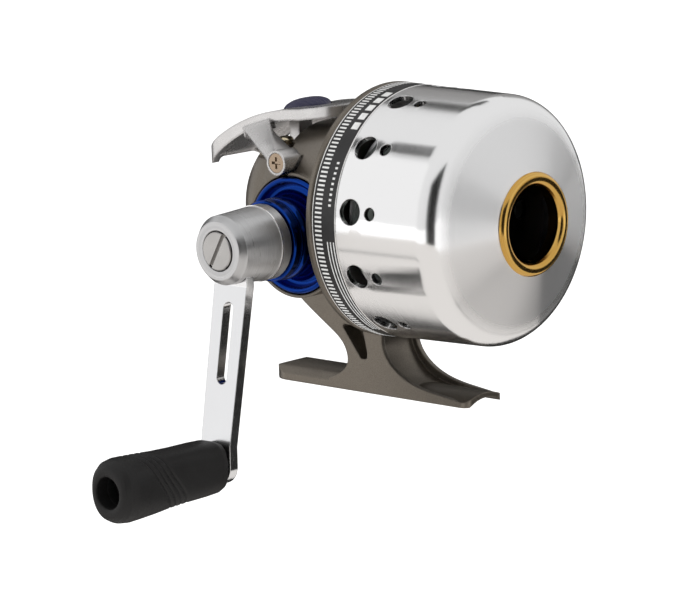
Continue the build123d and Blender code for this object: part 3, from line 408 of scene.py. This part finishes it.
def marks_on_band(name, marks):
    """Thin raised marks: each is (start x, end x, start turn, end turn) with turns in degrees."""
    points, faces = [], []
    for x0, x1, t0, t1 in marks:
        count = max(1, round((t1 - t0) / MARK_STEP))
        for step in range(count):
            a = math.radians(t0 + (t1 - t0) * step / count)
            b = math.radians(t0 + (t1 - t0) * (step + 1) / count)
            base = len(points)
            for lift in (-MARK_SUNK, MARK_PROUD):
                for x, turn in ((x0, a), (x1, a), (x1, b), (x0, b)):
                    points.append(about_reel(x, band_radius(x) + lift, turn))
            sides = (4, 5, 6, 7), (0, 1, 5, 4), (1, 2, 6, 5), (2, 3, 7, 6), (3, 0, 4, 7)
            faces += [tuple(base + i for i in side) for side in sides]
    piece(name, points, faces, "cover", "band_marks", smooth=False)


band_marks = Surface("band_marks", (0.78, 0.78, 0.77), 0.0, 0.45)
band_marks.vary_colour(band_marks.noise(band_marks.place(), 900, 3), (0.66, 0.66, 0.65))
MATERIALS["band_marks"] = band_marks.material


def build_band_marks():
    pitch = 360 / TICKS
    ticks = [(TICK_REAR, TICK_FRONT, n * pitch, n * pitch + pitch * TICK_SHARE) for n in range(TICKS)]
    marks_on_band("band_ticks", ticks)
    # plain bars and dots, in place of a maker's print, on both halves of the band
    bars = []
    for half in (0, 180):
        for start in range(15, 45, 6):
            bars.append((10.4, 12.3, half + start, half + start + 4))
        for dot in range(9):
            bars.append((11.0, 11.7, half + 60 + dot * 2.4, half + 61 + dot * 2.4))
        for x in (10.5, 11.4, 12.3):
            bars.append((x, x + 0.25, half + 96, half + 150))
    marks_on_band("band_bars", bars)
    # bright machined line along each edge of the band
    edges = (
        ("band_edge_rear", BAND_REAR - 0.02, BAND_REAR + 0.32),
        ("band_edge_front", BAND_FRONT - 0.28, BAND_FRONT + 0.02),
    )
    around = 180
    for name, low, high in edges:
        points = [about_reel(x, band_radius(x) + lift, 2 * math.pi * n / around)
                  for x, lift in ((low, -0.2), (low, 0.05), (high, 0.05), (high, -0.2)) for n in range(around)]
        faces = [
            (row + n, row + (n + 1) % around, row + around + (n + 1) % around, row + around + n)
            for row in range(0, 3 * around, around) for n in range(around)
        ]
        piece(name, points, faces, "cover", "trim")


build_band_marks()


# ---- thumb pad: a low dome with ridges that run along it -----------------------------------------
PAD_RIDGE, PAD_RIDGE_PITCH, PAD_SKIRT = 0.16, 1.1, 0.9  # the skirt is how far the rim goes into the lever


def pad_seat(x):
    """Height of the lever's top line at x: a circle through three points, then a straight line to the nose."""
    (ax, az), (bx, bz), (cx, cz) = LEVER_TIP, LEVER_MID, LEVER_KNEE
    d = 2 * (ax * (bz - cz) + bx * (cz - az) + cx * (az - bz))
    ux = ((ax**2 + az**2) * (bz - cz) + (bx**2 + bz**2) * (cz - az) + (cx**2 + cz**2) * (az - bz)) / d
    uz = ((ax**2 + az**2) * (cx - bx) + (bx**2 + bz**2) * (ax - cx) + (cx**2 + cz**2) * (bx - ax)) / d
    radius = math.hypot(ax - ux, az - uz)
    if x <= cx:
        return uz + math.sqrt(radius**2 - (x - ux) ** 2)
    return cz + (x - cx) * (LEVER_NOSE[1] - cz) / (LEVER_NOSE[0] - cx)


def build_pad():
    rings, around = 48, 120
    points, faces = [(PAD_X, 0.0, pad_seat(PAD_X) + PAD_RISE)], []
    for ring in range(1, rings + 1):
        share = ring / rings
        for spoke in range(around):
            turn = 2 * math.pi * spoke / around
            x = PAD_X + share * PAD_LENGTH / 2 * math.cos(turn)
            y = share * PAD_HALF * math.sin(turn)
            dome = PAD_RISE * (1 - share**2.6) ** 0.6
            ridge = PAD_RIDGE * math.cos(2 * math.pi * y / PAD_RIDGE_PITCH) * min(1.0, (1 - share) * 8)
            skirt = PAD_SKIRT if ring == rings else 0
            points.append((x, y, pad_seat(x) + dome - 0.1 + ridge * 0.9 - skirt))
    for spoke in range(around):
        faces.append((0, 1 + spoke, 1 + (spoke + 1) % around))
    for ring in range(rings - 1):
        base = 1 + ring * around
        for spoke in range(around):
            after = (spoke + 1) % around
            faces.append((base + spoke, base + around + spoke, base + around + after, base + after))
    return piece("thumb_pad_ridged", points, faces, "lever", "pad")


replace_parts(build_pad(), "thumb_pad")


# ---- studio --------------------------------------------------------------------------------------
UP, ALONG = Vector((0, 0, 1)), Vector((1, 0, 0))
PANEL_SIZE = (0.52, 0.95)


def card(name, centre, along, size, aim, shade, warmth=0.97):
    """A flat reflection card in metres, size (along, across).

    It shows in reflections only and isn't part of the object.
    """
    facing = (Vector(aim) - Vector(centre)).normalized()
    across = facing.cross(along).normalized()
    length = across.cross(facing)
    half_length, half_width = length * size[0] / 2, across * size[1] / 2
    signs = ((-1, -1), (1, -1), (1, 1), (-1, 1))
    corners = [Vector(centre) + half_length * a + half_width * b for a, b in signs]
    data = bpy.data.meshes.new(name)
    data.from_pydata([tuple(c) for c in corners], [], [(0, 1, 2, 3)])
    look = Surface(name, (0, 0, 0), 0.0, 1.0)
    look.shader.inputs["Specular IOR Level"].default_value = 0.0
    look.shader.inputs["Emission Color"].default_value = (shade, shade * (1 + warmth) / 2, shade * warmth, 1)
    look.shader.inputs["Emission Strength"].default_value = 1.0
    data.materials.append(look.material)
    made = bpy.data.objects.new(name, data)
    bpy.context.scene.collection.objects.link(made)
    made.visible_camera = False
    made.visible_shadow = False
    made.visible_diffuse = False


def mirrored(x, turn, lean, distance):
    """A spot on the cover, and the point at a distance from it that it mirrors to the camera.

    The turn is about the reel axis, from straight up towards the crank. The lean tips the spot's normal forwards.
    """
    turn, lean = math.radians(turn), math.radians(lean)
    normal = Vector((math.sin(lean), -math.cos(lean) * math.sin(turn), math.cos(lean) * math.cos(turn)))
    ray = 2 * normal.dot(CAMERA_BACK) * normal - CAMERA_BACK
    spot = Vector(about_reel(x, COVER_SPOT_R, turn)) * MM
    return spot, spot + ray * distance


def soft_light(name, place, aim, size, power, mirrors=False):
    """An area light whose long side runs round the reel axis, so its reflection lies straight along the cover."""
    facing = (Vector(aim) - Vector(place)).normalized()
    upright = facing.cross(ALONG).normalized()
    across = facing.cross(upright)
    data = bpy.data.lights.new(name, "AREA")
    data.shape = "RECTANGLE"
    data.size, data.size_y = size
    data.energy = power
    made = bpy.data.objects.new(name, data)
    rows = [[across[i], upright[i], -facing[i], place[i]] for i in range(3)]
    made.matrix_world = Matrix(rows + [[0, 0, 0, 1]])
    made.visible_glossy = mirrors
    bpy.context.scene.collection.objects.link(made)


# name, spot on the cover (x, turn, lean), distance, size along and across in metres, shade
REEL_CARDS = (
    ("card_top", 24, -2, 0, 0.5, 0.60, 0.52, 0.30),
    ("card_top_line", 24, 21, 0, 0.45, 0.60, 0.085, 0.05),
    ("card_second_holes", 27.5, 49, 0, 0.3, 0.10, 0.05, 0.02),
    ("card_line", 22, 98, 0, 0.3, 0.20, 0.008, 0.30),
    ("card_fourth_holes", 28.0, 112, 0, 0.3, 0.06, 0.09, 0.02),
    ("card_under", 26, 158, 0, 0.35, 0.70, 0.60, 0.02),
)


def build_studio():
    centre = Vector((0.015, -0.01, 0.035))
    floor_data = bpy.data.meshes.new("floor")
    floor_data.from_pydata([(-9, -9, 0), (9, -9, 0), (9, 9, 0), (-9, 9, 0)], [], [(0, 1, 2, 3)])
    floor = bpy.data.objects.new("floor", floor_data)
    floor.location = (0, 0, FLOOR_Z * MM)
    paper = Surface("floor_paper", (0.9, 0.9, 0.9), 0.0, 0.9)
    paper.vary_colour(paper.noise(paper.place(), 3, 3), (0.885, 0.885, 0.885))
    paper.shader.inputs["Emission Color"].default_value = (1, 0.995, 0.985, 1)
    paper.shader.inputs["Emission Strength"].default_value = 0.45
    floor_data.materials.append(paper.material)
    bpy.context.scene.collection.objects.link(floor)

    world = bpy.data.worlds.new("studio")
    world.use_nodes = True
    background = world.node_tree.nodes["Background"]
    background.inputs["Color"].default_value = (1.0, 1.0, 1.0, 1)
    background.inputs["Strength"].default_value = 0.86
    bpy.context.scene.world = world

    spot, place = mirrored(24, 72, 0, 0.9)
    soft_light("panel", place, spot, PANEL_SIZE, 0.20, mirrors=True)
    soft_light("key", place, spot, PANEL_SIZE, 1.5)
    soft_light("top", centre + Vector((0.1, 0.0, 0.9)), centre, (0.5, 0.5), 1.2)
    for name, x, turn, lean, distance, along, across, shade in REEL_CARDS:
        spot, place = mirrored(x, turn, lean, distance)
        card(name, place, ALONG, (along, across), spot, shade)
    spot, place = mirrored(SHOULDER_SPOT_X, 74, 47, 0.5)
    card("card_shoulder", place, UP, (0.48, 0.46), spot, 0.015)
    card("card_low", centre + Vector((0.03, 0.55, -0.235)), ALONG, (0.5, 0.16), centre, 0.22)
    arm = Vector((CRANK_X, -38, 15)) * MM
    card("card_arm_edge", arm + Vector((0.67, 0.72, -0.19)) * 0.6, UP, (0.40, 0.5), arm, 0.02)
    card("card_floor", (0, 0, (FLOOR_Z + 1) * MM), ALONG, (3, 3), (0, 0, 1), 0.84, 0.93)


build_studio()
bpy.context.scene.view_settings.view_transform = "Standard"
